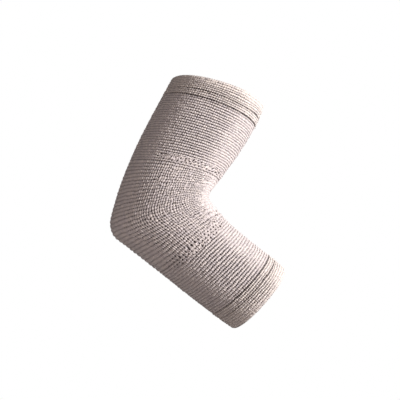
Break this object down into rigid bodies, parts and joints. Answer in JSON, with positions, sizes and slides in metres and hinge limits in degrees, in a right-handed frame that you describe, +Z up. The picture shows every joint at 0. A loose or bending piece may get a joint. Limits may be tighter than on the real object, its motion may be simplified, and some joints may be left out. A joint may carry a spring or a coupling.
{
  "type": "knitted elbow brace",
  "caption": "Pull-on knitted elbow sleeve, bent as worn, with a doubled cuff at each end and a roomy pouch over the point of the elbow.",
  "frame": {"origin": "the centre of the elbow inside the sleeve, where the axes of the upper arm and the forearm meet", "axes": "+X from the point of the elbow to its crease, +Y away from the side that faces the viewer, +Z up, towards the upper cuff; the arm bends in the XZ plane"},
  "size_m": [0.1774, 0.088, 0.2493],
  "materials": {
    "upper_cuff_knit": "matte knitted cotton and elastane, pinkish beige, doubled",
    "upper_arm_knit": "matte knitted cotton and elastane, pinkish beige",
    "pouch_knit": "matte knitted cotton and elastane, pinkish beige",
    "forearm_knit": "matte knitted cotton and elastane, pinkish beige",
    "lower_cuff_knit": "matte knitted cotton and elastane, pinkish beige, doubled"
  },
  "bodies": {
    "root": {"upper_cuff": "upper_cuff_knit", "upper_arm_tube": "upper_arm_knit", "elbow_pouch": "pouch_knit", "forearm_tube": "forearm_knit", "lower_cuff": "lower_cuff_knit"}
  },
  "joints": []
}
